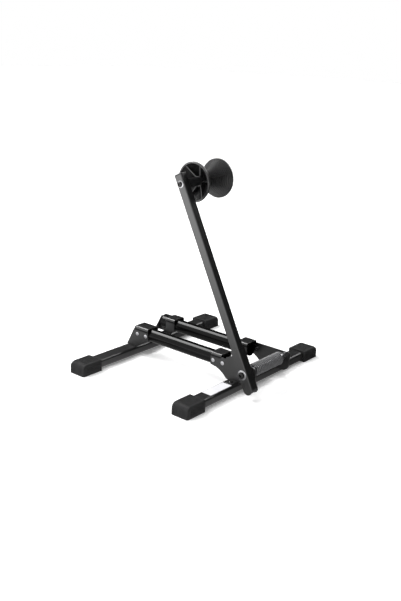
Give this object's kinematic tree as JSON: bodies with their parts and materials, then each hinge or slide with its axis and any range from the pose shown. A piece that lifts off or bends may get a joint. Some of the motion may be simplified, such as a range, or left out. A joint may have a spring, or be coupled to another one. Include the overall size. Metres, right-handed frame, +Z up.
{
  "type": "floor bike rack",
  "caption": "Floor bike rack: two capped steel legs joined by cross tubes that hold a wheel, and a sprung leaning arm with a V-grooved roller.",
  "frame": {"origin": "on the floor, at the middle of the wheel slot: midway between the two legs and between the two cross tubes", "axes": "+X along the cross tubes, from the open leg to the leg at the arm's pivot; +Y along the legs, away from the side that carries the arm; +Z up"},
  "size_m": [0.3338, 0.406, 0.4033],
  "materials": {
    "satin_black_paint": "satin powder coat",
    "gloss_black_paint": "gloss paint",
    "cap_rubber": "matt, finely textured",
    "rivet_aluminium": "bright",
    "label_paper": "plain, matt",
    "black_steel": "black oxide",
    "bright_steel": "bright zinc plate",
    "spring_steel": "dark coated spring wire",
    "plug_plastic": "moulded, satin",
    "roller_plastic": "moulded, satin",
    "bush_plastic": "plain bearing plastic"
  },
  "bodies": {
    "base": {"leg_left": "satin_black_paint", "leg_right": "satin_black_paint", "end_cap_front_left": "cap_rubber", "end_cap_front_right": "cap_rubber", "end_cap_rear_left": "cap_rubber", "end_cap_rear_right": "cap_rubber", "cross_tube_front": "gloss_black_paint", "cross_tube_rear": "gloss_black_paint", "bracket_front_left": "satin_black_paint", "bracket_rear_left": "satin_black_paint", "bracket_front_right": "satin_black_paint", "bracket_rear_right": "satin_black_paint", "bracket_rivets": "rivet_aluminium", "foot_rivets": "rivet_aluminium", "leg_label": "label_paper", "pivot_bolt": "black_steel", "pivot_bush": "bright_steel", "pivot_spacer": "bright_steel", "pivot_washers": "bright_steel", "pivot_nut": "bright_steel", "torsion_spring": "spring_steel"},
    "arm": {"arm_tube": "satin_black_paint", "arm_sleeve": "satin_black_paint", "arm_top_plug": "plug_plastic", "arm_foot_plug": "plug_plastic", "axle_bolt": "black_steel", "axle_spacer": "plug_plastic", "axle_sleeve": "bright_steel", "axle_washers": "bright_steel", "axle_nut": "bright_steel"},
    "roller": {"roller": "roller_plastic", "roller_bushes": "bush_plastic"}
  },
  "joints": [
    {"name": "arm_tilt", "type": "hinge", "parent": "base", "child": "arm", "pos_m": [0.1629, 0, 0.048], "axis": [0, 1, 0], "range_deg": [0, 50], "stiffness_Nm_per_rad": 3, "springref_deg": -18.91},
    {"name": "roller_spin", "type": "hinge", "parent": "arm", "child": "roller", "pos_m": [0.00519, 0, 0.36627], "axis": [0, 1, 0], "continuous": true}
  ]
}
